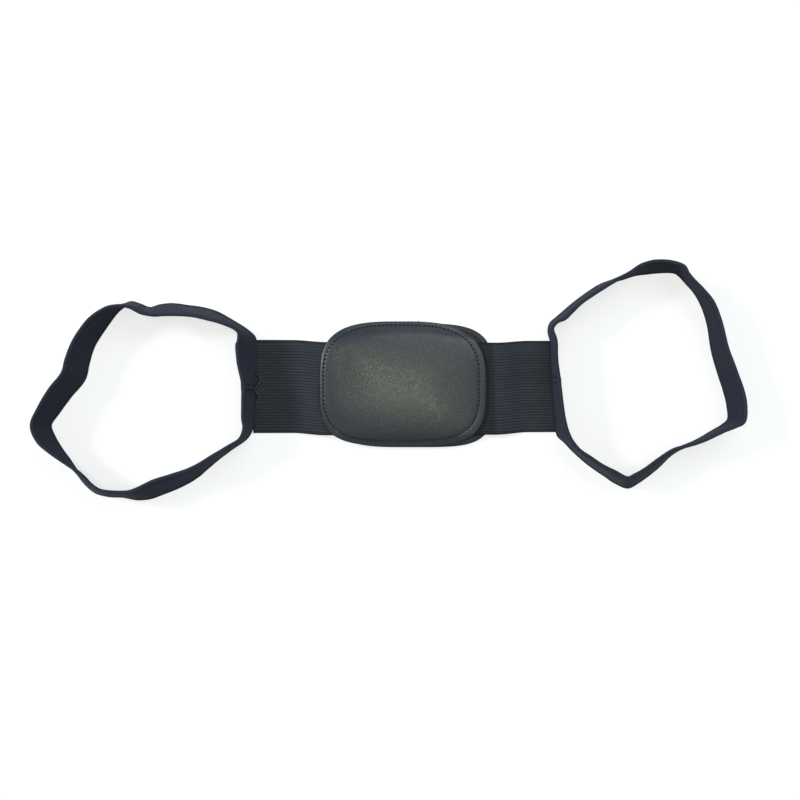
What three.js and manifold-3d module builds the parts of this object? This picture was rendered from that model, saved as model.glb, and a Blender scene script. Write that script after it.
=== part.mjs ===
import * as THREE from "three";
import { mergeVertices } from "three/addons/utils/BufferGeometryUtils.js";
import Module from "manifold-3d";

// A posture corrector lying on a table: a leather pad on a ribbed elastic band, and a soft
// arm strap at each end that stands on its edge in an open loop.
// Millimetres, +X along the band, +Y up the wearer's back, +Z up from the table.

// Driving dimensions
const ELASTIC_LENGTH = 206.5;
const ELASTIC_WIDTH = 64.5;
const ELASTIC_THICKNESS = 1.6;
const ELASTIC_SAG = 1.6;
const LEFT_END_SLANT = 1.9;
const RIGHT_END_SLANT = 3.4;

const PAD_WIDTH = 115.5;
const PAD_HEIGHT = 86.5;
const PAD_TOP_ROUNDNESS = 3.3;
const PAD_BOTTOM_ROUNDNESS = 3.8;
const CUSHION_FLANGE = 2.6;
const CUSHION_CROWN = 8.2;
const CUSHION_EDGE_ROUNDING = 0.8;
const CUSHION_HEM_RUN = 9.0;
const STITCH_INSET = 3.0;
const CUSHION_SHIFT_X = -0.65;
const CUSHION_SHIFT_Y = 2.0;
const REAR_PANEL_THICKNESS = 4.0;
const REAR_EDGE_ROUNDING = 1.0;
const REAR_SHIFT_X = 5.4;
const REAR_SHIFT_Y = -1.2;

const STRAP_WIDTH = 28.0;
const STRAP_THICKNESS = 2.6;
const LEFT_LOOP_REACH = 143.0;
const LEFT_LOOP_SPAN = 137.0;
const RIGHT_LOOP_REACH = 124.0;
const RIGHT_LOOP_SPAN = 151.0;

const SEAM_GAP = 0.3;
const PASSAGE_CLEARANCE = 0.8;
const SLOPE_MARGIN = 1.0;
const FLAT_END_LENGTH = 6.0;

// How finely the faces are cut
const PAD_SEGMENTS = 56;
const BAND_STEPS = 44;
const BAND_STRIPS = 6;
const STRAP_STEPS_PER_ROW = 3;
const STRAP_EDGE_POINTS = 4;

// Heights that the layers share
const REAR_TOP = REAR_PANEL_THICKNESS;
const ELASTIC_SEAT = REAR_TOP + SEAM_GAP;
const CUSHION_SEAT = ELASTIC_SEAT + ELASTIC_THICKNESS + SEAM_GAP;
const CUSHION_FOOT = REAR_TOP + SEAM_GAP;
const HALF_BAND = ELASTIC_WIDTH / 2;
const REAR_CENTRE_X = CUSHION_SHIFT_X + REAR_SHIFT_X;
const REAR_CENTRE_Y = CUSHION_SHIFT_Y + REAR_SHIFT_Y;

// The lower edge of each arm strap, one row for each fold or bend. Both loops start at the
// middle of the elastic's end, climb it and go round past the far side.
// out is the distance beyond the end of the elastic as a share of the loop's reach, up the
// distance above the elastic's centre line as a share of its span, and lean the degrees by
// which the strap's upper edge leans away from the opening.
const LEFT_LOOP_ROWS = [
  { out: 0.000, up: 0.020, lean: -10 },
  { out: 0.000, up: 0.120, lean: -18 },
  { out: 0.000, up: 0.205, lean: -21 },
  { out: 0.006, up: 0.250, lean: -20 },
  { out: 0.045, up: 0.287, lean: -7 },
  { out: 0.120, up: 0.336, lean: -9 },
  { out: 0.192, up: 0.377, lean: -15 },
  { out: 0.260, up: 0.397, lean: -16 },
  { out: 0.330, up: 0.407, lean: -17 },
  { out: 0.410, up: 0.417, lean: -20 },
  { out: 0.468, up: 0.410, lean: -19 },
  { out: 0.515, up: 0.397, lean: -11 },
  { out: 0.565, up: 0.415, lean: -8 },
  { out: 0.610, up: 0.427, lean: -10 },
  { out: 0.670, up: 0.388, lean: 0 },
  { out: 0.704, up: 0.345, lean: 8 },
  { out: 0.739, up: 0.294, lean: 13 },
  { out: 0.768, up: 0.249, lean: 14 },
  { out: 0.793, up: 0.200, lean: 15 },
  { out: 0.814, up: 0.120, lean: 18 },
  { out: 0.831, up: 0.038, lean: 19 },
  { out: 0.895, up: -0.048, lean: 18 },
  { out: 0.954, up: -0.136, lean: 14 },
  { out: 0.990, up: -0.198, lean: 10 },
  { out: 0.968, up: -0.260, lean: 8 },
  { out: 0.934, up: -0.320, lean: 1 },
  { out: 0.895, up: -0.376, lean: -6 },
  { out: 0.855, up: -0.438, lean: -15 },
  { out: 0.819, up: -0.488, lean: -19 },
  { out: 0.767, up: -0.536, lean: -18 },
  { out: 0.705, up: -0.555, lean: -13 },
  { out: 0.630, up: -0.559, lean: -11 },
  { out: 0.562, up: -0.572, lean: -16 },
  { out: 0.505, up: -0.568, lean: -20 },
  { out: 0.425, up: -0.539, lean: -23 },
  { out: 0.335, up: -0.499, lean: -20 },
  { out: 0.272, up: -0.460, lean: -15 },
  { out: 0.222, up: -0.416, lean: -9 },
  { out: 0.165, up: -0.365, lean: -5 },
  { out: 0.090, up: -0.307, lean: -2 },
  { out: 0.030, up: -0.262, lean: -1 },
  { out: 0.004, up: -0.212, lean: -4 },
  { out: 0.001, up: -0.160, lean: -7 },
  { out: 0.000, up: -0.095, lean: -8 },
];
const RIGHT_LOOP_ROWS = [
  { out: 0.000, up: 0.030, lean: 0 },
  { out: 0.000, up: 0.120, lean: 2 },
  { out: 0.002, up: 0.205, lean: 2 },
  { out: -0.012, up: 0.258, lean: 3 },
  { out: -0.002, up: 0.290, lean: -2 },
  { out: 0.031, up: 0.315, lean: -6 },
  { out: 0.075, up: 0.346, lean: -5 },
  { out: 0.126, up: 0.382, lean: -4 },
  { out: 0.198, up: 0.426, lean: -5 },
  { out: 0.270, up: 0.464, lean: -5 },
  { out: 0.337, up: 0.486, lean: -2 },
  { out: 0.400, up: 0.500, lean: 2 },
  { out: 0.470, up: 0.518, lean: 8 },
  { out: 0.543, up: 0.526, lean: 11 },
  { out: 0.621, up: 0.532, lean: 8 },
  { out: 0.692, up: 0.530, lean: 2 },
  { out: 0.726, up: 0.513, lean: -4 },
  { out: 0.754, up: 0.488, lean: -5 },
  { out: 0.806, up: 0.440, lean: -4 },
  { out: 0.850, up: 0.377, lean: 0 },
  { out: 0.885, up: 0.290, lean: 2 },
  { out: 0.906, up: 0.165, lean: 6 },
  { out: 0.935, up: 0.058, lean: 9 },
  { out: 0.960, up: -0.019, lean: 10 },
  { out: 0.975, up: -0.090, lean: 9 },
  { out: 0.973, up: -0.155, lean: 6 },
  { out: 0.940, up: -0.180, lean: 1 },
  { out: 0.883, up: -0.207, lean: -2 },
  { out: 0.820, up: -0.238, lean: -4 },
  { out: 0.765, up: -0.261, lean: -5 },
  { out: 0.699, up: -0.284, lean: -7 },
  { out: 0.636, up: -0.318, lean: -14 },
  { out: 0.572, up: -0.369, lean: -19 },
  { out: 0.511, up: -0.410, lean: -20 },
  { out: 0.456, up: -0.442, lean: -21 },
  { out: 0.399, up: -0.465, lean: -23 },
  { out: 0.335, up: -0.445, lean: -13 },
  { out: 0.270, up: -0.409, lean: -10 },
  { out: 0.205, up: -0.373, lean: -7 },
  { out: 0.138, up: -0.329, lean: -5 },
  { out: 0.090, up: -0.292, lean: -2 },
  { out: 0.048, up: -0.255, lean: -3 },
  { out: 0.008, up: -0.223, lean: -8 },
  { out: 0.002, up: -0.170, lean: -5 },
  { out: 0.000, up: -0.110, lean: -3 },
];

const manifoldLibrary = await Module();
manifoldLibrary.setup();

function smoothRise(from, to, value) {
  return THREE.MathUtils.smoothstep(value, from, to);
}

// Joins rings of points into one closed body. A ribbon that runs round to its own start
// has no end faces, and any other has a fan of faces over its first and last ring.
function bodyOfRings(rings, isLoop) {
  const ringSize = rings[0].length;
  const positions = rings.flat().flatMap((point) => point.toArray());
  const faces = [];
  const ringPairs = isLoop ? rings.length : rings.length - 1;
  for (let ring = 0; ring < ringPairs; ring += 1) {
    const here = ring * ringSize;
    const next = ((ring + 1) % rings.length) * ringSize;
    for (let side = 0; side < ringSize; side += 1) {
      const beside = (side + 1) % ringSize;
      faces.push(here + side, next + side, next + beside);
      faces.push(here + side, next + beside, here + beside);
    }
  }
  if (!isLoop) {
    for (const [ring, turn] of [[0, 1], [rings.length - 1, -1]]) {
      const middle = new THREE.Vector3();
      rings[ring].forEach((point) => middle.add(point));
      middle.divideScalar(ringSize);
      const middleIndex = positions.length / 3;
      positions.push(...middle.toArray());
      for (let side = 0; side < ringSize; side += 1) {
        const pair = [ring * ringSize + side, ring * ringSize + ((side + 1) % ringSize)];
        if (turn < 0) {
          pair.reverse();
        }
        faces.push(middleIndex, ...pair);
      }
    }
  }
  const geometry = new THREE.BufferGeometry();
  geometry.setAttribute("position", new THREE.Float32BufferAttribute(positions, 3));
  geometry.setIndex(faces);
  return turnedOutward(geometry);
}

// Turns every face over when the body's signed volume says that they point inwards.
function turnedOutward(geometry) {
  const place = geometry.getAttribute("position");
  const corners = [new THREE.Vector3(), new THREE.Vector3(), new THREE.Vector3()];
  const faces = Array.from(geometry.getIndex().array);
  let volume = 0;
  for (let face = 0; face < faces.length; face += 3) {
    corners.forEach((corner, index) => corner.fromBufferAttribute(place, faces[face + index]));
    volume += corners[0].dot(corners[1].cross(corners[2]));
  }
  if (volume < 0) {
    faces.reverse();
    geometry.setIndex(faces);
  }
  geometry.computeVertexNormals();
  return geometry;
}

function solidOf(geometry) {
  const bare = geometry.clone();
  bare.deleteAttribute("normal");
  bare.deleteAttribute("uv");
  const merged = mergeVertices(bare);
  return new manifoldLibrary.Manifold(new manifoldLibrary.Mesh({
    numProp: 3,
    vertProperties: Float32Array.from(merged.getAttribute("position").array),
    triVerts: Uint32Array.from(merged.getIndex().array),
  }));
}

function geometryOf(solid) {
  const mesh = solid.getMesh();
  const geometry = new THREE.BufferGeometry();
  geometry.setAttribute("position", new THREE.BufferAttribute(mesh.vertProperties, 3));
  geometry.setIndex(Array.from(mesh.triVerts));
  geometry.computeVertexNormals();
  return geometry;
}

// One ring of the pad's rounded oblong, drawn in by a share of its size.
function padRing(centreX, centreY, share, heightAt) {
  const ring = [];
  for (let step = 0; step < PAD_SEGMENTS; step += 1) {
    const angle = (2 * Math.PI * step) / PAD_SEGMENTS;
    const roundness = Math.sin(angle) > 0 ? PAD_TOP_ROUNDNESS : PAD_BOTTOM_ROUNDNESS;
    const across = Math.sign(Math.cos(angle)) * Math.abs(Math.cos(angle)) ** (2 / roundness);
    const upward = Math.sign(Math.sin(angle)) * Math.abs(Math.sin(angle)) ** (2 / roundness);
    const x = centreX + (across * share * PAD_WIDTH) / 2;
    const y = centreY + (upward * share * PAD_HEIGHT) / 2;
    ring.push(new THREE.Vector3(x, y, heightAt(x, y, share)));
  }
  return ring;
}

// The leather cushion on the front: a flat stitched flange round a crowned middle. Past the
// elastic's edges it drops onto the rear panel, which leaves a passage for the elastic.
function frontCushionGeometry() {
  const stitchShare = 1 - STITCH_INSET / (PAD_WIDTH / 2);
  const hemDrop = CUSHION_SEAT - CUSHION_FOOT;
  const flangeTop = (x, y) => {
    const fromBand = Math.abs(y + ELASTIC_SAG);
    const drop = hemDrop * smoothRise(HALF_BAND, HALF_BAND + CUSHION_HEM_RUN, fromBand);
    return CUSHION_SEAT + CUSHION_FLANGE - drop;
  };
  const crownTop = (x, y, share) => {
    const rise = (1 - (share / stitchShare) ** 2.6) ** 0.75;
    return flangeTop(x, y) + (CUSHION_CROWN - CUSHION_FLANGE) * rise;
  };
  const ring = (share, heightAt) => padRing(CUSHION_SHIFT_X, CUSHION_SHIFT_Y, share, heightAt);
  const body = bodyOfRings([
    ring(0.5, () => CUSHION_FOOT),
    ring(0.985, () => CUSHION_FOOT),
    ring(1, () => CUSHION_FOOT + CUSHION_EDGE_ROUNDING),
    ring(1, (x, y) => flangeTop(x, y) - CUSHION_EDGE_ROUNDING),
    ring(0.985, flangeTop),
    ring(stitchShare, flangeTop),
    ring(0.97 * stitchShare, crownTop),
    ring(0.91 * stitchShare, crownTop),
    ring(0.8 * stitchShare, crownTop),
    ring(0.63 * stitchShare, crownTop),
    ring(0.42 * stitchShare, crownTop),
    ring(0.19 * stitchShare, crownTop),
  ], false);
  const passageWidth = ELASTIC_WIDTH + 2 * PASSAGE_CLEARANCE;
  const passage = new THREE.BoxGeometry(2 * PAD_WIDTH, passageWidth, 2 * hemDrop);
  passage.translate(0, -ELASTIC_SAG, CUSHION_FOOT);
  return geometryOf(solidOf(body).subtract(solidOf(passage)));
}

// The rear leather panel that lies on the table: two layers with a thin filling.
function rearPanelGeometry() {
  const ring = (share, height) => padRing(REAR_CENTRE_X, REAR_CENTRE_Y, share, () => height);
  return bodyOfRings([
    ring(0.5, 0),
    ring(0.975, 0),
    ring(1, REAR_EDGE_ROUNDING),
    ring(1, REAR_TOP - REAR_EDGE_ROUNDING),
    ring(0.975, REAR_TOP),
    ring(0.5, REAR_TOP),
  ], false);
}

// Where the elastic's cut end stands at a height up the band. Each end is cut a little askew.
function elasticEnd(side, y) {
  const slant = side < 0 ? LEFT_END_SLANT : RIGHT_END_SLANT;
  const upTheEnd = THREE.MathUtils.clamp(y, -HALF_BAND, HALF_BAND);
  return ELASTIC_LENGTH / 2 - Math.tan(THREE.MathUtils.degToRad(slant)) * upTheEnd;
}

// How far the band is taken up into the pad: 1 between the panels, 0 at its ends.
function bandLift(x) {
  const side = x < 0 ? -1 : 1;
  const slopeStart = PAD_WIDTH / 2 + SLOPE_MARGIN + side * REAR_CENTRE_X;
  const slopeEnd = ELASTIC_LENGTH / 2 - FLAT_END_LENGTH;
  return 1 - smoothRise(slopeStart, slopeEnd, Math.abs(x));
}

// The elastic band: flat between the panels, where the pad pulls it down a little, and
// sloping down to the table at each end.
function elasticGeometry() {
  const halfThickness = ELASTIC_THICKNESS / 2;
  const rings = [];
  for (let step = 0; step <= BAND_STEPS; step += 1) {
    const along = (2 * step) / BAND_STEPS - 1;
    const pointAt = (y, lift) => {
      const x = along * elasticEnd(along < 0 ? -1 : 1, y);
      const taken = bandLift(x);
      return new THREE.Vector3(x, y - ELASTIC_SAG * taken, ELASTIC_SEAT * taken + lift);
    };
    const ring = [];
    for (let strip = 0; strip <= BAND_STRIPS; strip += 1) {
      const y = (HALF_BAND - halfThickness / 2) * ((2 * strip) / BAND_STRIPS - 1);
      ring.push(pointAt(y, 0));
    }
    ring.push(pointAt(HALF_BAND, halfThickness));
    for (let strip = BAND_STRIPS; strip >= 0; strip -= 1) {
      const y = (HALF_BAND - halfThickness / 2) * ((2 * strip) / BAND_STRIPS - 1);
      ring.push(pointAt(y, ELASTIC_THICKNESS));
    }
    ring.push(pointAt(-HALF_BAND, halfThickness));
    rings.push(ring);
  }
  return bodyOfRings(rings, false);
}

// The section of a strap that has been folded flat: two faces and two rounded edges, as
// distances across its thickness and up its width.
function strapSection() {
  const radius = STRAP_THICKNESS / 2;
  const points = [];
  for (const [edge, firstAngle] of [[0, Math.PI], [STRAP_WIDTH - STRAP_THICKNESS, 0]]) {
    for (let step = 0; step < STRAP_EDGE_POINTS; step += 1) {
      const angle = firstAngle + (Math.PI * step) / (STRAP_EDGE_POINTS - 1);
      points.push({ through: radius * Math.cos(angle), upward: edge + radius * Math.sin(angle) });
    }
  }
  return points;
}

// One arm strap: a closed ribbon that stands on its lower edge. Each row gives a point of
// the lower edge and one of the upper edge, and a smooth curve runs through each.
function strapGeometry(side, rows, reach, span) {
  const radius = STRAP_THICKNESS / 2;
  const places = rows.map((row) => {
    const y = row.up * span;
    const x = side * (elasticEnd(side, y) + SEAM_GAP + radius + row.out * reach);
    return new THREE.Vector3(x, y, radius);
  });
  const heights = rows.map((row, index) => {
    const before = places[(index + rows.length - 1) % rows.length];
    const after = places[(index + 1) % rows.length];
    const along = after.clone().sub(before).normalize();
    const away = new THREE.Vector3(-side * along.y, side * along.x, 0);
    const lean = THREE.MathUtils.degToRad(row.lean);
    const upward = new THREE.Vector3(0, 0, Math.cos(lean)).addScaledVector(away, Math.sin(lean));
    return places[index].clone().addScaledVector(upward, STRAP_WIDTH - STRAP_THICKNESS);
  });
  const lowerEdge = new THREE.CatmullRomCurve3(places, true, "centripetal");
  const upperEdge = new THREE.CatmullRomCurve3(heights, true, "centripetal");
  const section = strapSection();
  const stepCount = rows.length * STRAP_STEPS_PER_ROW;
  const rings = [];
  for (let step = 0; step < stepCount; step += 1) {
    const share = step / stepCount;
    const low = lowerEdge.getPoint(share);
    const upward = upperEdge.getPoint(share).sub(low).normalize();
    const along = lowerEdge.getTangent(share).add(upperEdge.getTangent(share));
    const through = along.cross(upward).normalize();
    const ring = section.map((point) => low.clone()
      .addScaledVector(through, point.through)
      .addScaledVector(upward, point.upward));
    const lowest = Math.min(...ring.map((point) => point.z));
    ring.forEach((point) => point.setZ(point.z - lowest));
    rings.push(ring);
  }
  return bodyOfRings(rings, true);
}

const leather = { color: 0x565c58, roughness: 0.5, metalness: 0 };
const darkLeather = { color: 0x24282f, roughness: 0.6, metalness: 0 };
const ribbedElastic = { color: 0x33363d, roughness: 0.85, metalness: 0 };
const strapFabric = { color: 0x262a33, roughness: 0.9, metalness: 0 };

function namedPiece(name, geometry, finish) {
  const piece = new THREE.Mesh(geometry, new THREE.MeshStandardMaterial(finish));
  piece.name = name;
  return piece;
}

const leftStrap = strapGeometry(-1, LEFT_LOOP_ROWS, LEFT_LOOP_REACH, LEFT_LOOP_SPAN);
const rightStrap = strapGeometry(1, RIGHT_LOOP_ROWS, RIGHT_LOOP_REACH, RIGHT_LOOP_SPAN);

const group = new THREE.Group();
group.add(
  namedPiece("front_cushion", frontCushionGeometry(), leather),
  namedPiece("rear_panel", rearPanelGeometry(), darkLeather),
  namedPiece("elastic_band", elasticGeometry(), ribbedElastic),
  namedPiece("arm_strap_left", leftStrap, strapFabric),
  namedPiece("arm_strap_right", rightStrap, strapFabric),
);

// The origin is the middle of the whole outline, on the table.
const outline = new THREE.Box3().setFromObject(group);
const middle = outline.getCenter(new THREE.Vector3());
group.position.set(-middle.x, -middle.y, -outline.min.z);
group.updateMatrixWorld(true);

export default group;
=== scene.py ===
import bisect
import math
import bmesh
import bpy
from mathutils import Matrix, Vector, noise


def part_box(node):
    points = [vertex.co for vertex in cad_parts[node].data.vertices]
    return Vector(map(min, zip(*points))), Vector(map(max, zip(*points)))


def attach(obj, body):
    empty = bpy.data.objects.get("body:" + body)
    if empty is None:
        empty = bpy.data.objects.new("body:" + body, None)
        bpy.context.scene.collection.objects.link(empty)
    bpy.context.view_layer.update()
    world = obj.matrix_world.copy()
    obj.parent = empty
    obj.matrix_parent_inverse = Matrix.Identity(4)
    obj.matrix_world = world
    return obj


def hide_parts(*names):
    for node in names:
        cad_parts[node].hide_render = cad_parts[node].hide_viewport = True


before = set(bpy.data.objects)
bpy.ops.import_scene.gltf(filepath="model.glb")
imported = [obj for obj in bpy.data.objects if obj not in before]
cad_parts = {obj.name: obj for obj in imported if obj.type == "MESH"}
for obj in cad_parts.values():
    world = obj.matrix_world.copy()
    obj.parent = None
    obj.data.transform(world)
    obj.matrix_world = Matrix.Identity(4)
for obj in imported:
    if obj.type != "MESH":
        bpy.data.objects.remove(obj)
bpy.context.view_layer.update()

# Camera. It looks straight down on the table from 0.74 m, a little to the right of the
# object's middle and below it, as the photograph does.
lens_data = bpy.data.cameras.new("top_camera")
lens_data.sensor_width = 36.0
lens_data.lens = 47.57
camera = bpy.data.objects.new("top_camera", lens_data)
camera.location = (0.00776, -0.01249, 0.740)
bpy.context.scene.collection.objects.link(camera)
bpy.context.scene.camera = camera


# Table and studio light. A pale matt table that glows for the camera alone, a small key light
# far to the left, a narrow strip overhead that shows on the leather, and a broad soft light
# from the upper right.
def new_material(name):
    material = bpy.data.materials.new(name)
    material.use_nodes = True
    return material, material.node_tree, material.node_tree.nodes["Principled BSDF"]


def add_node(tree, kind, links=None, **settings):
    made = tree.nodes.new(kind)
    for key, value in settings.items():
        setattr(made, key, value)
    for socket, source in (links or {}).items():
        if isinstance(source, bpy.types.NodeSocket):
            tree.links.new(source, made.inputs[socket])
        else:
            made.inputs[socket].default_value = source
    return made


def math_node(tree, operation, *values):
    return add_node(tree, "ShaderNodeMath", dict(enumerate(values)), operation=operation)


def mix_tones(tree, factor, low, high, **settings):
    return add_node(tree, "ShaderNodeMix", {"Factor": factor, "A": low, "B": high},
                    data_type="RGBA", **settings)


def show_mesh(name, mesh_source, smooth=True):
    mesh = bpy.data.meshes.new(name)
    mesh_source.to_mesh(mesh)
    mesh_source.free()
    if smooth:
        mesh.shade_smooth()
    piece = bpy.data.objects.new(name, mesh)
    bpy.context.scene.collection.objects.link(piece)
    return piece


table_mesh = bmesh.new()
bmesh.ops.create_grid(table_mesh, x_segments=2, y_segments=2, size=6.0)
table_top = show_mesh("table_top", table_mesh, smooth=False)
table_paint, table_tree, table_shader = new_material("pale_table")
table_shader.inputs["Base Color"].default_value = (0.42, 0.42, 0.44, 1.0)
table_shader.inputs["Roughness"].default_value = 0.9
table_shader.inputs["Specular IOR Level"].default_value = 0.1
table_shader.inputs["Emission Color"].default_value = (1.0, 1.0, 1.0, 1.0)
table_ray = add_node(table_tree, "ShaderNodeLightPath")
table_glow = math_node(table_tree, "MULTIPLY", table_ray.outputs["Is Camera Ray"], 0.68)
table_tree.links.new(table_glow.outputs[0], table_shader.inputs["Emission Strength"])
table_top.data.materials.append(table_paint)


def hang_light(name, place, aim, width, height, watts, tint, turn=0.0):
    light = bpy.data.lights.new(name, "AREA")
    light.shape = "RECTANGLE"
    light.size = width
    light.size_y = height
    light.energy = watts
    light.color = tint
    lamp = bpy.data.objects.new(name, light)
    facing = (Vector(place) - Vector(aim)).to_track_quat("Z", "Y")
    lamp.rotation_euler = (facing.to_matrix() @ Matrix.Rotation(turn, 3, "Z")).to_euler()
    lamp.location = place
    bpy.context.scene.collection.objects.link(lamp)


hang_light("key_left", (-2.9, 1.0, 2.1), (0, 0, 0), 0.6, 0.6, 66.0, (0.96, 0.98, 1.0))
hang_light("overhead", (0.0, 0.0, 1.6), (0, 0, 0), 0.9, 0.16, 5.4, (1.0, 1.0, 0.66), -0.70)
hang_light("soft_right", (0.58, 0.95, 1.5), (0, 0, 0), 1.5, 1.0, 11.0, (0.88, 0.92, 1.0))
studio = bpy.data.worlds.new("studio")
studio.use_nodes = True
studio.node_tree.nodes["Background"].inputs["Color"].default_value = (0.76, 0.88, 1.0, 1.0)
studio.node_tree.nodes["Background"].inputs["Strength"].default_value = 0.36
bpy.context.scene.world = studio
bpy.context.scene.view_settings.view_transform = "Standard"
bpy.context.scene.view_settings.look = "None"

# Rear panel. A leather panel that lies against the back, cut to nearly the same rounded oblong
# as the front cushion: two skins of dark leather over a thin filling, sewn round the edge.
rear_low, rear_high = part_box("rear_panel")
REAR_MIDDLE = (rear_low + rear_high) / 2
PAD_WIDTH = rear_high.x - rear_low.x
PAD_HEIGHT = rear_high.y - rear_low.y
TOP_ROUNDNESS = 3.3
BOTTOM_ROUNDNESS = 3.8
FULLER_CORNERS = 0.55
REAR_TOP = rear_high.z
REAR_SEAM_INSET = 0.0034
PANEL_CELLS = 64
REAR_RIM_CELLS = 4


def rounded_oblong(across, upward, width, height, top=TOP_ROUNDNESS, bottom=BOTTOM_ROUNDNESS):
    """The outline's point in a direction. The pad is rounder at the top than at the bottom."""
    power = top if upward > 0 else bottom
    reach = (abs(across) ** power + abs(upward) ** power) ** (1 / power)
    return Vector((across / reach * width / 2, upward / reach * height / 2, 0.0))


def pad_edge_at(across, upward):
    return rounded_oblong(across, upward, PAD_WIDTH, PAD_HEIGHT)


def round_way(across, upward):
    """Bends a square's point smoothly into a disc's, with no kink on the diagonals."""
    return (across * math.sqrt(1 - upward * upward / 2), upward * math.sqrt(1 - across * across / 2))


def oblong_sheet(cells, rim_cells, seam_at, edge_at=pad_edge_at):
    """A square grid bent out to the pad's outline. The rim's outer cells lie between the
    seam line and the cut edge. Each vertex keeps its share of the way out to the edge."""
    sheet = bmesh.new()
    bmesh.ops.create_grid(sheet, x_segments=cells, y_segments=cells, size=1.0)
    ring_share = sheet.verts.layers.float.new("ring_share")
    rim = 2 * rim_cells / cells
    for vert in sheet.verts:
        across, upward = vert.co.x, vert.co.y
        reach = max(abs(across), abs(upward))
        if reach > 1 - rim - 1e-6:
            way = round_way(across / reach, upward / reach)
            vert.co = seam_at(*way)[1].lerp(edge_at(*way), (reach - 1 + rim) / rim)
            vert[ring_share] = reach
            continue
        way = round_way(across / (1 - rim), upward / (1 - rim))
        length = math.hypot(*way)
        vert[ring_share] = length * (1 - rim)
        middle, seam = seam_at(*way) if length > 1e-6 else seam_at(1.0, 0.0)
        vert.co = middle.lerp(seam, length)
    return sheet, ring_share


def copy_skin(skin, parts):
    """Copies a skin to make its back. Gives the copy's vertices and faces."""
    made = bmesh.ops.duplicate(skin, geom=parts)["geom"]
    return ([item for item in made if isinstance(item, bmesh.types.BMVert)],
            [item for item in made if isinstance(item, bmesh.types.BMFace)])


def close_shell(shell, back_faces):
    """Turns the back's faces outward and joins the two skins round their open edges."""
    bmesh.ops.reverse_faces(shell, faces=back_faces)
    open_edges = [edge for edge in shell.edges if edge.is_boundary]
    bmesh.ops.bridge_loops(shell, edges=open_edges)
    bmesh.ops.recalc_face_normals(shell, faces=shell.faces[:])


def subdivide_once(piece):
    rounding = piece.modifiers.new("rounding", "SUBSURF")
    rounding.levels = 1
    rounding.render_levels = 1


def rear_edge_at(across, upward, inset=0.0):
    """The rear panel's corners are a little fuller on the right."""
    fuller = FULLER_CORNERS if across > 0 else 0.0
    return rounded_oblong(across, upward, PAD_WIDTH - 2 * inset, PAD_HEIGHT - 2 * inset,
                          TOP_ROUNDNESS + fuller, BOTTOM_ROUNDNESS + fuller)


def rear_seam_at(across, upward):
    return Vector(), rear_edge_at(across, upward, REAR_SEAM_INSET)


def soft_step(low, high, value):
    share = min(max((value - low) / (high - low), 0.0), 1.0)
    return share * share * (3 - 2 * share)


def even_round(seam_at, samples=720):
    """Turns a seam into a line that is walked at an even pace by shares from 0 to 1."""
    spots = []
    for sample in range(samples + 1):
        angle = 2 * math.pi * sample / samples
        spots.append(seam_at(math.cos(angle), math.sin(angle))[1])
    walked = [0.0]
    for before, after in zip(spots, spots[1:]):
        walked.append(walked[-1] + (after - before).length)

    def spot_at(share):
        wanted = (share % 1.0) * walked[-1]
        after = min(bisect.bisect_right(walked, wanted), samples)
        part = (wanted - walked[after - 1]) / (walked[after] - walked[after - 1])
        return spots[after - 1].lerp(spots[after], part)

    return spot_at


def lay_stitch(thread, start, end, up, thickness, sides=8, rings=6):
    """One stitch: a short round thread laid from start to end, its ends sunk."""
    along = end - start
    side = along.cross(up).normalized()
    lift = side.cross(along).normalized()
    frame_of = Matrix((along / 2, side * thickness / 2, lift * thickness / 2)).transposed()
    place = Matrix.Translation((start + end) / 2) @ frame_of.to_4x4()
    bmesh.ops.create_uvsphere(thread, u_segments=sides, v_segments=rings, radius=1.0,
                              matrix=place)


def join_patch(thread, patch):
    """Adds a small patch of stitches to the whole, which is faster than one long build."""
    patch_mesh = bpy.data.meshes.new("patch")
    patch.to_mesh(patch_mesh)
    patch.free()
    thread.from_mesh(patch_mesh)
    bpy.data.meshes.remove(patch_mesh)


def sew(thread, count, point_at, up_at, dash=0.7, thickness=0.0007, slant=0.0):
    """A row of stitches along a line that point_at gives for shares from 0 to 1."""
    for number in range(count):
        start = point_at((number + 0.5 - dash / 2) / count)
        end = point_at((number + 0.5 + dash / 2) / count)
        up = up_at((number + 0.5) / count)
        aside = (end - start).cross(up).normalized() * slant
        lay_stitch(thread, start - aside, end + aside, up, thickness)


rear_sheet, rear_share = oblong_sheet(PANEL_CELLS, REAR_RIM_CELLS, rear_seam_at, rear_edge_at)
rear_rim = 2 * REAR_RIM_CELLS / PANEL_CELLS
REAR_SKIN = 0.0013
REAR_EDGE_FALL = 0.8
REAR_EDGE_SHARE = 0.55
REAR_DIP = 0.0005
REAR_DIP_RUN = 0.022
REAR_FILL_RUN = 0.25
REAR_RIPPLE = 0.00012
RIPPLES_PER_METRE = 60
REAR_SLACK = 0.0002
for vert in rear_sheet.verts:
    inward = 1 - vert[rear_share]
    edge_fall = 1 - soft_step(0.0, rear_rim * REAR_EDGE_SHARE, inward)
    seam_dip = math.exp(-((inward - rear_rim) / REAR_DIP_RUN) ** 2)
    filled = soft_step(rear_rim, rear_rim + REAR_FILL_RUN, inward)
    wander = Vector((vert.co.x * RIPPLES_PER_METRE, vert.co.y * RIPPLES_PER_METRE, 3.0))
    ripple = noise.noise(wander) * REAR_RIPPLE
    filling = filled * (REAR_TOP / 2 - REAR_SKIN - REAR_SLACK)
    vert.co.z = REAR_TOP / 2 + REAR_SKIN + ripple + filling
    vert.co.z -= edge_fall ** 2 * REAR_SKIN * REAR_EDGE_FALL + seam_dip * REAR_DIP
rear_back_verts, rear_back_faces = copy_skin(rear_sheet, rear_sheet.verts[:] + rear_sheet.faces[:])
for vert in rear_back_verts:
    vert.co.z = max(REAR_TOP - vert.co.z - 2 * REAR_SLACK, 0.0)
close_shell(rear_sheet, rear_back_faces)
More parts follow.
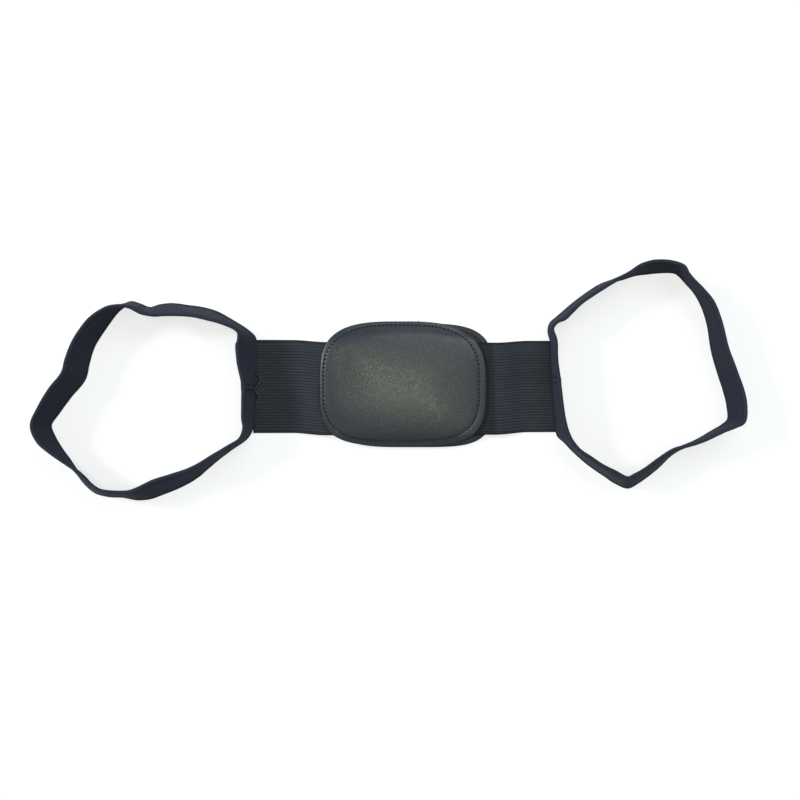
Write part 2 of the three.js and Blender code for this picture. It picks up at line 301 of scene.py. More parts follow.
bmesh.ops.translate(rear_sheet, vec=(REAR_MIDDLE.x, REAR_MIDDLE.y, 0.0), verts=rear_sheet.verts[:])
rear_panel = show_mesh("rear_leather_panel", rear_sheet)
subdivide_once(rear_panel)


# The leather's grain: small pebbles with fine creases between them, on larger soft
# unevenness. It gives the height for a bump and a mask of the creases.
def build_grain_group():
    tree = bpy.data.node_groups.new("pebbled_grain", "ShaderNodeTree")
    tree.interface.new_socket("Vector", in_out="INPUT", socket_type="NodeSocketVector")
    tree.interface.new_socket("Pebbles per Metre", in_out="INPUT", socket_type="NodeSocketFloat")
    tree.interface.new_socket("Height", in_out="OUTPUT", socket_type="NodeSocketFloat")
    tree.interface.new_socket("Creases", in_out="OUTPUT", socket_type="NodeSocketFloat")
    tree.interface.new_socket("Unevenness", in_out="OUTPUT", socket_type="NodeSocketFloat")
    entry = add_node(tree, "NodeGroupInput")
    result = add_node(tree, "NodeGroupOutput")
    place = entry.outputs["Vector"]
    scale = entry.outputs["Pebbles per Metre"]
    warp = add_node(tree, "ShaderNodeTexNoise", {"Vector": place, "Scale": 300.0, "Detail": 2.0})
    offset = add_node(tree, "ShaderNodeVectorMath", {0: warp.outputs["Color"], 1: (0.5, 0.5, 0.5)},
                      operation="SUBTRACT")
    shift = add_node(tree, "ShaderNodeVectorMath", {0: offset.outputs[0], "Scale": 0.0009},
                     operation="SCALE")
    bent = add_node(tree, "ShaderNodeVectorMath", {0: place, 1: shift.outputs[0]}, operation="ADD")
    cells = add_node(tree, "ShaderNodeTexVoronoi", {"Vector": bent.outputs[0], "Scale": scale},
                     feature="DISTANCE_TO_EDGE")
    pebble = add_node(tree, "ShaderNodeMapRange", {"Value": cells.outputs["Distance"],
                      "From Min": 0.0, "From Max": 0.3}, interpolation_type="SMOOTHSTEP")
    crease = math_node(tree, "SUBTRACT", 1.0, pebble.outputs[0])
    broad = add_node(tree, "ShaderNodeTexNoise", {"Vector": place, "Scale": 45.0, "Detail": 3.0})
    fine = add_node(tree, "ShaderNodeTexNoise", {"Vector": place, "Scale": 2600.0, "Detail": 1.0})
    lift = math_node(tree, "MULTIPLY_ADD", fine.outputs["Fac"], 0.04, pebble.outputs[0])
    tree.links.new(lift.outputs[0], result.inputs["Height"])
    tree.links.new(crease.outputs[0], result.inputs["Creases"])
    tree.links.new(broad.outputs["Fac"], result.inputs["Unevenness"])
    return tree


grain_group = build_grain_group()


def place_group(tree, group, links):
    return add_node(tree, "ShaderNodeGroup", links, node_tree=group)


rear_leather, rear_tree, rear_shader = new_material("rear_leather")
rear_place = add_node(rear_tree, "ShaderNodeTexCoord")
rear_grain = place_group(rear_tree, grain_group,
                         {"Vector": rear_place.outputs["Object"], "Pebbles per Metre": 1000.0})
rear_tone = mix_tones(rear_tree, rear_grain.outputs["Unevenness"],
                      (0.014, 0.017, 0.024, 1.0), (0.026, 0.030, 0.038, 1.0))
rear_bump = add_node(rear_tree, "ShaderNodeBump", {"Height": rear_grain.outputs["Height"],
                     "Distance": 0.0001, "Strength": 0.5})
rear_tree.links.new(rear_tone.outputs["Result"], rear_shader.inputs["Base Color"])
rear_tree.links.new(rear_bump.outputs[0], rear_shader.inputs["Normal"])
rear_shader.inputs["Roughness"].default_value = 0.58
rear_panel.data.materials.append(rear_leather)
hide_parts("rear_panel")
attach(rear_panel, "root")

# The rear panel's seam: black thread in a shallow groove all round, on both faces.
rear_thread = bmesh.new()
REAR_STITCHES = 112
THREAD_SINK = 0.0003
THREAD_SHOW = 0.0001
rear_seam_line = even_round(rear_seam_at)


def rear_seam_top(share):
    spot = rear_seam_line(share) + REAR_MIDDLE
    return Vector((spot.x, spot.y, REAR_TOP / 2 + REAR_SKIN - THREAD_SINK))


def rear_seam_under(share):
    spot = rear_seam_top(share)
    return Vector((spot.x, spot.y, REAR_TOP - spot.z - THREAD_SHOW))


sew(rear_thread, REAR_STITCHES, rear_seam_top, lambda share: Vector((0, 0, 1)))
sew(rear_thread, REAR_STITCHES, rear_seam_under, lambda share: Vector((0, 0, -1)))
rear_seam = show_mesh("rear_panel_stitches", rear_thread)


# Sewing thread: tight black polyester with a twist that catches the light.
def build_thread_material():
    material, tree, shader = new_material("black_thread")
    place = add_node(tree, "ShaderNodeTexCoord")
    twist = add_node(tree, "ShaderNodeTexWave", {"Vector": place.outputs["Object"],
                     "Scale": 900.0, "Distortion": 1.5}, bands_direction="DIAGONAL")
    tone = mix_tones(tree, twist.outputs["Fac"],
                     (0.004, 0.005, 0.008, 1.0), (0.013, 0.015, 0.022, 1.0))
    bump = add_node(tree, "ShaderNodeBump", {"Height": twist.outputs["Fac"],
                    "Distance": 0.00005, "Strength": 0.6})
    tree.links.new(tone.outputs["Result"], shader.inputs["Base Color"])
    tree.links.new(bump.outputs[0], shader.inputs["Normal"])
    shader.inputs["Roughness"].default_value = 0.7
    return material


thread_finish = build_thread_material()
rear_seam.data.materials.append(thread_finish)
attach(rear_seam, "root")

# Elastic band. A woven elastic 64.5 mm wide with fine lengthwise ribs on both faces. It
# runs through between the panels and slopes down to the table just beyond them.
ELASTIC_LENGTH = 0.2065
ELASTIC_WIDTH = 0.0645
ELASTIC_THICKNESS = 0.0016
ELASTIC_SAG = 0.0016
END_SLANTS = {-1: 1.9, 1: 3.4}
END_TUCK = 0.0011
TAPER = 0.011
REAR_OFFSET = Vector((0.00475, 0.0008, 0.0))
SEAM_GAP = 0.0003
SLOPE_MARGIN = 0.001
SLOPE_RUN = 0.024
RIB_COUNT = 32
RIB_RELIEF = 0.00022
RIB_FADE = 0.0016
SMOOTH_FROM = 0.022
SMOOTH_TO = 0.026
BAND_EDGE_RUN = 0.0009
BAND_EDGE_THINNING = 0.45
CELLS_PER_RIB = 6
BAND_CELLS = 120
BAND_MIDDLE = REAR_MIDDLE - REAR_OFFSET
BAND_SEAT = REAR_TOP + SEAM_GAP


def elastic_end(side, up):
    """How far the elastic's slanted cut end stands from its middle."""
    held = min(max(up, -ELASTIC_WIDTH / 2), ELASTIC_WIDTH / 2)
    return ELASTIC_LENGTH / 2 - math.tan(math.radians(END_SLANTS[side])) * held


def band_lift(x):
    """How far the band is taken up into the pad: 1 between the panels, 0 at its ends."""
    side = -1 if x < 0 else 1
    start = PAD_WIDTH / 2 + SLOPE_MARGIN + side * REAR_OFFSET.x
    return 1 - soft_step(start, start + SLOPE_RUN, abs(x))


def rib_height(up, along):
    """The ribs fade out over the smooth woven edge at the top of the band."""
    share = (up / ELASTIC_WIDTH + 0.5) * RIB_COUNT
    wave = 0.5 - 0.5 * math.cos(2 * math.pi * share)
    edge = soft_step(0.0, RIB_FADE, ELASTIC_WIDTH / 2 - abs(up))
    smooth_top = 1 - 0.6 * soft_step(SMOOTH_FROM, SMOOTH_TO, up)
    wander = 0.8 + 0.4 * noise.noise(Vector((along * 30, share * 0.7, 5.0)))
    return RIB_RELIEF * (wave ** 0.7) * edge * smooth_top * wander


elastic_mesh = bmesh.new()
band_uv = elastic_mesh.loops.layers.uv.new("cloth")
bmesh.ops.create_grid(elastic_mesh, x_segments=BAND_CELLS,
                      y_segments=RIB_COUNT * CELLS_PER_RIB, size=1.0, calc_uvs=True)
for face in elastic_mesh.faces:
    for loop in face.loops:
        across = (loop.vert.co.y / 2 + 0.5) * ELASTIC_WIDTH
        loop[band_uv].uv = ((loop.vert.co.x / 2 + 0.5) * ELASTIC_LENGTH, across)
top_geom = elastic_mesh.verts[:] + elastic_mesh.edges[:] + elastic_mesh.faces[:]
under_verts, under_faces = copy_skin(elastic_mesh, top_geom)
under_verts = set(under_verts)
for vert in elastic_mesh.verts:
    up = vert.co.y * ELASTIC_WIDTH / 2 * (1 - TAPER * vert.co.x)
    side = -1 if vert.co.x < 0 else 1
    x = vert.co.x * (elastic_end(side, up) + END_TUCK)
    lift = band_lift(x)
    edge_round = 1 - soft_step(0.0, BAND_EDGE_RUN, ELASTIC_WIDTH / 2 * (1 - abs(vert.co.y)))
    half = ELASTIC_THICKNESS / 2 * (1 - BAND_EDGE_THINNING * edge_round) - RIB_RELIEF
    half += rib_height(up, x)
    face_turn = -1 if vert in under_verts else 1
    height = BAND_SEAT * lift + ELASTIC_THICKNESS / 2 + face_turn * half
    vert.co = Vector((x, up - ELASTIC_SAG * lift, height)) + BAND_MIDDLE
    vert.co.z = height
close_shell(elastic_mesh, under_faces)
elastic_band = show_mesh("ribbed_elastic_band", elastic_mesh)


# The threads of a woven cloth: lengthwise and crosswise yarns that pass over each other,
# with a little fuzz. It reads a flat map in metres and gives a height and a mask.
def build_weave_group():
    tree = bpy.data.node_groups.new("woven_yarns", "ShaderNodeTree")
    tree.interface.new_socket("Vector", in_out="INPUT", socket_type="NodeSocketVector")
    tree.interface.new_socket("Long Yarns", in_out="INPUT", socket_type="NodeSocketFloat")
    tree.interface.new_socket("Cross Yarns", in_out="INPUT", socket_type="NodeSocketFloat")
    tree.interface.new_socket("Height", in_out="OUTPUT", socket_type="NodeSocketFloat")
    tree.interface.new_socket("Blotches", in_out="OUTPUT", socket_type="NodeSocketFloat")
    entry = add_node(tree, "NodeGroupInput")
    result = add_node(tree, "NodeGroupOutput")
    place = entry.outputs["Vector"]
    split = add_node(tree, "ShaderNodeSeparateXYZ", {0: place})
    fuzz = add_node(tree, "ShaderNodeTexNoise", {"Vector": place, "Scale": 900.0, "Detail": 3.0})
    waves = []
    for axis, pitch in (("Y", "Long Yarns"), ("X", "Cross Yarns")):
        turns = math_node(tree, "MULTIPLY", split.outputs[axis], entry.outputs[pitch])
        loose = math_node(tree, "MULTIPLY_ADD", fuzz.outputs["Fac"], 0.22, turns.outputs[0])
        swing = math_node(tree, "MULTIPLY", loose.outputs[0], 2 * math.pi)
        waves.append(math_node(tree, "SINE", swing.outputs[0]))
    cross = math_node(tree, "MULTIPLY", waves[0].outputs[0], waves[1].outputs[0])
    woven = math_node(tree, "MULTIPLY_ADD", cross.outputs[0], 0.3, 0.5)
    height = math_node(tree, "MULTIPLY_ADD", fuzz.outputs["Fac"], 0.5, woven.outputs[0])
    blotches = add_node(tree, "ShaderNodeTexNoise", {"Vector": place, "Scale": 60.0,
                        "Detail": 4.0})
    tree.links.new(height.outputs[0], result.inputs["Height"])
    tree.links.new(blotches.outputs["Fac"], result.inputs["Blotches"])
    return tree


weave_group = build_weave_group()
# The elastic's colour: painted shade darkens the rib grooves so the crests show paler, less so on a
# smooth strip along the top; darker long edges; and a painted shadow that darkens a zone where it
# goes in under the pad's right edge, 0.158 m along it.
PAINTED_SHADOW_AT = 0.1581
PAINTED_SHADOW_HALF = 0.0055
PAINTED_SHADOW_FADE_END = 0.0095
EDGE_SHADE_START = ELASTIC_WIDTH / 2 - 0.0018
EDGE_SHADE_END = ELASTIC_WIDTH / 2 - 0.0008
ribbed_elastic, rib_tree, rib_shader = new_material("ribbed_elastic")
rib_map = add_node(rib_tree, "ShaderNodeUVMap", uv_map="cloth")
rib_weave = place_group(rib_tree, weave_group, {"Vector": rib_map.outputs[0],
                        "Long Yarns": 1000.0, "Cross Yarns": 1400.0})
rib_split = add_node(rib_tree, "ShaderNodeSeparateXYZ", {0: rib_map.outputs[0]})
# Painted shade: the colour runs from dark in each rib's groove to pale on its crest, weaker over the
# smooth strip at the top.
rib_turns = math_node(rib_tree, "MULTIPLY", rib_split.outputs["Y"],
                      2 * math.pi * RIB_COUNT / ELASTIC_WIDTH)
rib_wave = math_node(rib_tree, "COSINE", rib_turns.outputs[0])
rib_smooth = add_node(rib_tree, "ShaderNodeMapRange", {"Value": rib_split.outputs["Y"],
                      "From Min": ELASTIC_WIDTH - 0.0085, "From Max": ELASTIC_WIDTH - 0.0065,
                      "To Min": 1.0, "To Max": 0.35})
rib_soft = math_node(rib_tree, "MULTIPLY", rib_wave.outputs[0], rib_smooth.outputs[0])
rib_groove_shading = add_node(rib_tree, "ShaderNodeMapRange", {"Value": rib_soft.outputs[0],
                     "From Min": 1.0, "From Max": -0.6}, interpolation_type="SMOOTHSTEP")
rib_middle = math_node(rib_tree, "SUBTRACT", rib_split.outputs["Y"], ELASTIC_WIDTH / 2)
rib_reach = math_node(rib_tree, "ABSOLUTE", rib_middle.outputs[0])
rib_edge = add_node(rib_tree, "ShaderNodeMapRange", {"Value": rib_reach.outputs[0],
                    "From Min": EDGE_SHADE_START, "From Max": EDGE_SHADE_END,
                    "To Min": 1.0, "To Max": 0.3})
rib_groove_shaded_tone = mix_tones(rib_tree, rib_groove_shading.outputs[0],
                     (0.015, 0.018, 0.025, 1.0), (0.036, 0.042, 0.053, 1.0))
rib_patch = mix_tones(rib_tree, rib_weave.outputs["Blotches"],
                      (0.72, 0.72, 0.76, 1.0), (1.2, 1.22, 1.2, 1.0))
rib_colour = mix_tones(rib_tree, 1.0, rib_groove_shaded_tone.outputs["Result"], rib_patch.outputs["Result"],
                       blend_type="MULTIPLY")
# Painted shadow: the band's colour is halved over 11 mm where it goes in under the pad's right edge,
# fading out over 4 mm on each side.
rib_along = math_node(rib_tree, "SUBTRACT", rib_split.outputs["X"], PAINTED_SHADOW_AT)
rib_off = math_node(rib_tree, "ABSOLUTE", rib_along.outputs[0])
rib_painted_shadow = add_node(rib_tree, "ShaderNodeMapRange", {"Value": rib_off.outputs[0],
                      "From Min": PAINTED_SHADOW_HALF, "From Max": PAINTED_SHADOW_FADE_END, "To Min": 0.5,
                      "To Max": 1.0}, interpolation_type="SMOOTHSTEP")
rib_edge_tone_and_painted_shadow = math_node(rib_tree, "MULTIPLY", rib_edge.outputs[0], rib_painted_shadow.outputs[0])
rib_shade = add_node(rib_tree, "ShaderNodeVectorMath", {0: rib_colour.outputs["Result"],
                     "Scale": rib_edge_tone_and_painted_shadow.outputs[0]}, operation="SCALE")
rib_bump = add_node(rib_tree, "ShaderNodeBump", {"Height": rib_weave.outputs["Height"],
                    "Distance": 0.00008, "Strength": 0.6})
rib_tree.links.new(rib_shade.outputs[0], rib_shader.inputs["Base Color"])
rib_tree.links.new(rib_bump.outputs[0], rib_shader.inputs["Normal"])
rib_shader.inputs["Roughness"].default_value = 0.8
rib_shader.inputs["Sheen Weight"].default_value = 0.05
rib_shader.inputs["Sheen Roughness"].default_value = 0.5
rib_shader.inputs["Specular IOR Level"].default_value = 0.3
elastic_band.data.materials.append(ribbed_elastic)
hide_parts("elastic_band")
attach(elastic_band, "root")

# Front cushion. Grey-black pebbled leather over foam: the cover is sewn down along an oval
# seam that lies nearer the pad's left edge, and a flat two-layer rim is left outside it.
cushion_low, cushion_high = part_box("front_cushion")
CUSHION_MIDDLE = (cushion_low + cushion_high) / 2
CUSHION_FOOT = cushion_low.z
CUSHION_SEAT = BAND_SEAT + ELASTIC_THICKNESS + SEAM_GAP
RIM_THICKNESS = 0.0026
HEM_RUN = 0.009
CUSHION_CROWN = cushion_high.z - CUSHION_SEAT
SEAM_OVAL_WIDTH = 0.1085
SEAM_OVAL_HEIGHT = 0.0806
SEAM_OVAL_SHIFT = Vector((-0.0013, 0.0006, 0.0))
SEAM_TOP_ROUNDNESS = 2.9
SEAM_BOTTOM_ROUNDNESS = 3.5
CUT_CORNER_ROUNDNESS = 2.9
CUSHION_CELLS = 84
RIM_CELLS = 4
START_SHARE = 0.78
DOME_POWERS = (2.2, 0.85)
RIM_DROP_START = 0.78
RING_EDGE = 0.001
PUFF_FRAMES = 20
PUFF_CAP = 0.0030


def cushion_seam_at(across, upward):
    seam = rounded_oblong(across, upward, SEAM_OVAL_WIDTH, SEAM_OVAL_HEIGHT,
                          SEAM_TOP_ROUNDNESS, SEAM_BOTTOM_ROUNDNESS)
    return SEAM_OVAL_SHIFT, SEAM_OVAL_SHIFT + seam


def cushion_edge_at(across, upward):
    """The cushion is cut a little rounder than the rear panel at the top right corner."""
    top = CUT_CORNER_ROUNDNESS if across > 0 else TOP_ROUNDNESS
    return rounded_oblong(across, upward, PAD_WIDTH, PAD_HEIGHT, top)


def rim_top(spot):
    """The rim's upper face: it rides over the elastic and drops onto the rear panel."""
    from_band = abs(spot.y - BAND_MIDDLE.y + ELASTIC_SAG)
    half = ELASTIC_WIDTH / 2
    drop = soft_step(half, half + HEM_RUN, from_band) * (CUSHION_SEAT - CUSHION_FOOT)
    return CUSHION_SEAT + RIM_THICKNESS - drop


cover, cover_share = oblong_sheet(CUSHION_CELLS, RIM_CELLS, cushion_seam_at, cushion_edge_at)
seam_ring = 1 - 2 * RIM_CELLS / CUSHION_CELLS
for vert in cover.verts:
    vert.co.x += CUSHION_MIDDLE.x
    vert.co.y += CUSHION_MIDDLE.y
    share = vert[cover_share] / seam_ring
    rise = (1 - min(share, 1.0) ** DOME_POWERS[0]) ** DOME_POWERS[1] if share < 1 else 0.0
    drop = CUSHION_SEAT + RIM_THICKNESS - rim_top(vert.co)
    vert.co.z = CUSHION_SEAT + RIM_THICKNESS - drop * soft_step(RIM_DROP_START, 1.0, share)
    vert.co.z += START_SHARE * (CUSHION_CROWN - RIM_THICKNESS) * rise
cover.verts.index_update()
held_down = [vert.index for vert in cover.verts if vert[cover_share] > seam_ring - RING_EDGE]
front_cushion = show_mesh("front_cushion_cover", cover)
start_places = [vert.co.copy() for vert in front_cushion.data.vertices]
pins = front_cushion.vertex_groups.new(name="sewn_down")
pins.add(held_down, 1.0, "REPLACE")
blow = front_cushion.modifiers.new("foam_push", "CLOTH")
blow.settings.quality = 6
blow.settings.mass = 0.3
blow.settings.tension_stiffness = 15
blow.settings.compression_stiffness = 15
blow.settings.shear_stiffness = 5
blow.settings.bending_stiffness = 2.0
blow.settings.use_pressure = True
blow.settings.uniform_pressure_force = 1.6
blow.settings.vertex_group_mass = "sewn_down"
blow.settings.effector_weights.gravity = 0.0
for step in range(1, PUFF_FRAMES + 1):
    bpy.context.scene.frame_set(step)
puffed = front_cushion.evaluated_get(bpy.context.evaluated_depsgraph_get())
pushed = [vert.co.copy() for vert in puffed.to_mesh().vertices]
front_cushion.modifiers.remove(blow)
front_cushion.vertex_groups.remove(pins)
bpy.context.scene.frame_set(1)
for vert, start, end in zip(front_cushion.data.vertices, start_places, pushed):
    move = end - start
    if move.length > PUFF_CAP:
        move *= PUFF_CAP / move.length
    vert.co = start + move

# The puffed cover is smoothed, dips along its seam and gets its back.
SMOOTHING_TURNS = 14
SEAM_DIP = 0.0003
EDGE_ROUNDING = 0.0005
RIM_FALL = 0.0010
UNEVENNESS = 0.0005
UNEVEN_PER_METRE = 30
cushion_body = bmesh.new()
cushion_body.from_mesh(front_cushion.data)
cushion_share = cushion_body.verts.layers.float["ring_share"]
loose_verts = [vert for vert in cushion_body.verts if vert[cushion_share] < seam_ring - RING_EDGE]
for turn in range(SMOOTHING_TURNS):
    bmesh.ops.smooth_vert(cushion_body, verts=loose_verts, factor=0.5, use_axis_z=True)
for vert in cushion_body.verts:
    share = vert[cushion_share]
    if abs(share - seam_ring) < RING_EDGE:
        vert.co.z -= SEAM_DIP
    elif share > seam_ring:
        vert.co.z -= RIM_FALL * (share - seam_ring) / (1 - seam_ring)
    elif share < seam_ring:
        wander = Vector((vert.co.x * UNEVEN_PER_METRE, vert.co.y * UNEVEN_PER_METRE, 1.0))
        give = noise.noise(wander)
        vert.co.z += UNEVENNESS * give * soft_step(0.0, 0.2, seam_ring - share)
cushion_back_verts, cushion_back_faces = copy_skin(
    cushion_body, cushion_body.verts[:] + cushion_body.faces[:])
for vert in cushion_back_verts:
    vert.co.z = rim_top(vert.co) - RIM_THICKNESS
    if vert[cushion_share] > 1 - RING_EDGE:
        vert.co.z += EDGE_ROUNDING
close_shell(cushion_body, cushion_back_faces)
cushion_body.to_mesh(front_cushion.data)
cushion_body.free()
front_cushion.data.shade_smooth()
subdivide_once(front_cushion)

pad_leather, pad_tree, pad_shader = new_material("pad_leather")
pad_place = add_node(pad_tree, "ShaderNodeTexCoord")
pad_grain = place_group(pad_tree, grain_group, {"Vector": pad_place.outputs["Object"],
                        "Pebbles per Metre": 820.0})
pad_tone = mix_tones(pad_tree, pad_grain.outputs["Unevenness"],
                     (0.034, 0.041, 0.049, 1.0), (0.045, 0.053, 0.061, 1.0))
pad_crease = mix_tones(pad_tree, pad_grain.outputs["Creases"], pad_tone.outputs["Result"],
                       (0.023, 0.028, 0.034, 1.0))
pad_rough = add_node(pad_tree, "ShaderNodeMapRange", {"Value": pad_grain.outputs["Creases"],
                     "To Min": 0.22, "To Max": 0.40})
pad_bump = add_node(pad_tree, "ShaderNodeBump", {"Height": pad_grain.outputs["Height"],
                    "Distance": 0.00006, "Strength": 0.5})
pad_tree.links.new(pad_crease.outputs["Result"], pad_shader.inputs["Base Color"])
pad_tree.links.new(pad_rough.outputs[0], pad_shader.inputs["Roughness"])
pad_tree.links.new(pad_bump.outputs[0], pad_shader.inputs["Normal"])
front_cushion.data.materials.append(pad_leather)
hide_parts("front_cushion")
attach(front_cushion, "root")

# The cushion's seam: dark thread sunk in the leather, 3 mm to a stitch.
CUSHION_STITCHES = 114
cushion_thread = bmesh.new()
cushion_seam_line = even_round(cushion_seam_at)


def cushion_seam_top(share):
    spot = cushion_seam_line(share) + CUSHION_MIDDLE
    spot.z = rim_top(spot) + THREAD_SHOW
    return spot


sew(cushion_thread, CUSHION_STITCHES, cushion_seam_top, lambda share: Vector((0, 0, 1)),
    dash=0.68, thickness=0.0012, slant=0.00012)
# The thread's end, a short tail over the pad's top edge.
TAIL_START = Vector((0.0202, 0.0402, 0.0078))
TAIL_END = Vector((0.0206, 0.0428, 0.0072))
lay_stitch(cushion_thread, TAIL_START, TAIL_END, Vector((0, 0, 1)), 0.0006)
cushion_seam = show_mesh("front_cushion_stitches", cushion_thread)
cushion_seam.data.materials.append(thread_finish)
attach(cushion_seam, "root")

# Arm straps. Each is a long tube of soft brushed cloth folded flat, with a stitched-down
# edge roll along both sides. Its ends meet at the elastic's cut end, and the loop stands on
# its edge. Rows give the lower edge: distance beyond the elastic's end as a share of the
# loop's reach, height up the band as a share of its span, and the upper edge's lean away
# from the opening in degrees.
STRAP_WIDTH = 0.028
STRAP_THICKNESS = 0.0026
STEPS_PER_ROW = 8
JOINT_DIP = 0.0013
LEFT_LOOP = {"side": -1, "joint": -0.0035, "reach": 0.143, "span": 0.137, "rows": [
    (0.000, 0.020, -10), (0.000, 0.120, -18), (0.000, 0.205, -21), (0.006, 0.250, -20),
    (0.045, 0.287, -7), (0.120, 0.336, -9), (0.192, 0.377, -15), (0.260, 0.397, -16),
    (0.330, 0.407, -17), (0.410, 0.417, -20), (0.468, 0.410, -19), (0.515, 0.397, -11),
    (0.565, 0.415, -8), (0.610, 0.427, -10), (0.670, 0.388, 0), (0.704, 0.345, 8),
    (0.739, 0.294, 13), (0.768, 0.249, 14), (0.793, 0.200, 15), (0.814, 0.120, 18),
    (0.831, 0.038, 19), (0.895, -0.048, 18), (0.954, -0.136, 14), (0.990, -0.198, 10),
    (0.968, -0.260, 8), (0.934, -0.320, 1), (0.895, -0.376, -6), (0.855, -0.438, -15),
    (0.819, -0.488, -19), (0.767, -0.536, -18), (0.705, -0.555, -13), (0.630, -0.559, -11),
    (0.562, -0.572, -16), (0.505, -0.568, -20), (0.425, -0.539, -23), (0.335, -0.499, -20),
    (0.272, -0.460, -15), (0.222, -0.416, -9), (0.165, -0.365, -5), (0.090, -0.307, -2),
    (0.030, -0.262, -1), (0.004, -0.212, -4), (0.001, -0.160, -7), (0.000, -0.095, -8),
]}
RIGHT_LOOP = {"side": 1, "joint": 0.0, "reach": 0.124, "span": 0.151, "rows": [
    (0.000, 0.030, 0), (0.000, 0.120, 2), (0.002, 0.205, 2), (-0.012, 0.258, 3),
    (-0.002, 0.290, -2), (0.031, 0.315, -6), (0.075, 0.346, -5), (0.126, 0.382, -4),
    (0.198, 0.426, -5), (0.270, 0.464, -5), (0.337, 0.486, -2), (0.400, 0.500, 2),
    (0.470, 0.518, 8), (0.543, 0.526, 11), (0.621, 0.532, 8), (0.692, 0.530, 2),
    (0.726, 0.513, -4), (0.754, 0.488, -5), (0.806, 0.440, -4), (0.850, 0.377, 0),
    (0.885, 0.290, 2), (0.906, 0.165, 6), (0.935, 0.058, 9), (0.960, -0.019, 10),
    (0.975, -0.090, 9), (0.973, -0.155, 6), (0.940, -0.180, 1), (0.883, -0.207, -2),
    (0.820, -0.238, -4), (0.765, -0.261, -5), (0.699, -0.284, -7), (0.636, -0.318, -14),
    (0.572, -0.369, -19), (0.511, -0.410, -20), (0.456, -0.442, -21), (0.399, -0.465, -23),
    (0.335, -0.445, -13), (0.270, -0.409, -10), (0.205, -0.373, -7), (0.138, -0.329, -5),
    (0.090, -0.292, -2), (0.048, -0.255, -3), (0.008, -0.223, -8), (0.002, -0.170, -5),
    (0.000, -0.110, -3),
]}
# The section from the lower edge to the upper one: height in millimetres and half the
# thickness there, with a roll at each edge and the seam's groove beside it.
STRAP_SECTION = [
    (-1.30, 0.00), (-1.15, 0.62), (-0.75, 1.06), (-0.10, 1.30), (0.70, 1.26), (1.35, 0.98),
    (1.85, 0.60), (2.40, 0.86), (3.60, 1.04), (6.00, 1.12), (9.30, 1.18), (12.70, 1.20),
    (16.10, 1.18), (19.40, 1.12), (21.80, 1.04), (23.00, 0.86), (23.55, 0.60), (24.05, 0.98),
    (24.70, 1.26), (25.50, 1.30), (26.15, 1.06), (26.55, 0.62), (26.70, 0.00)]
SECTION_FOOT = 1.3
SECTION_HEIGHT = 28.0
FACE_START = 1.8
FACE_END = 23.8
ROLL_SWELL = 0.25
FACE_PINCH = 0.5
FOLD_DEPTH = 0.00045
PUCKER_DEPTH = 0.00022
EDGE_WANDER = 0.00035


def loop_curve(points):
    """A smooth closed curve through points, even where they stand unevenly apart."""
    count = len(points)

    def spot_at(share, slope=False):
        place = (share % 1.0) * count
        start = int(place) % count
        part = place - int(place)
        near = [points[(start + step) % count] for step in (-1, 0, 1, 2)]
        gaps = [(near[step + 1] - near[step]).length ** 0.5 for step in range(3)]
        first = ((near[1] - near[0]) / gaps[0] - (near[2] - near[0]) / (gaps[0] + gaps[1])
                 + (near[2] - near[1]) / gaps[1]) * gaps[1]
        last = ((near[2] - near[1]) / gaps[1] - (near[3] - near[1]) / (gaps[1] + gaps[2])
                + (near[3] - near[2]) / gaps[2]) * gaps[1]
        bend = near[2] - near[1]
        if slope:
            return (first + part * 2 * (3 * bend - 2 * first - last)
                    + part * part * 3 * (first + last - 2 * bend)).normalized()
        return (near[1] + part * first + part * part * (3 * bend - 2 * first - last)
                + part ** 3 * (first + last - 2 * bend))

    return spot_at


def strap_frames(loop):
    """For each step round the loop: the lower edge, the way up the strap's width, the way
    through its thickness, and how far along the strap it is."""
    side = loop["side"]
    radius = STRAP_THICKNESS / 2
    low_points = []
    for out, up, _ in loop["rows"]:
        y = up * loop["span"]
        x = side * (elastic_end(side, y) + SEAM_GAP + radius + out * loop["reach"])
        low_points.append(Vector((x, y, radius)))
    high_points = []
    for number, (_, _, lean) in enumerate(loop["rows"]):
        before = low_points[number - 1]
        after = low_points[(number + 1) % len(low_points)]
        along = (after - before).normalized()
        away = Vector((-side * along.y, side * along.x, 0.0))
        turn = math.radians(lean)
        rise = Vector((0, 0, math.cos(turn))) + away * math.sin(turn)
        high_points.append(low_points[number] + rise * (STRAP_WIDTH - STRAP_THICKNESS))
    low_curve = loop_curve(low_points)
    high_curve = loop_curve(high_points)
    steps = len(low_points) * STEPS_PER_ROW
    frames = []
    walked = 0.0
    for step in range(steps + 1):
        share = step / steps
        low = low_curve(share)
        upward = (high_curve(share) - low).normalized()
        along = low_curve(share, slope=True) + high_curve(share, slope=True)
        through = along.cross(upward).normalized()
        if frames:
            walked += (low - frames[-1][0]).length
        frames.append((low, upward, through, walked))
    return frames


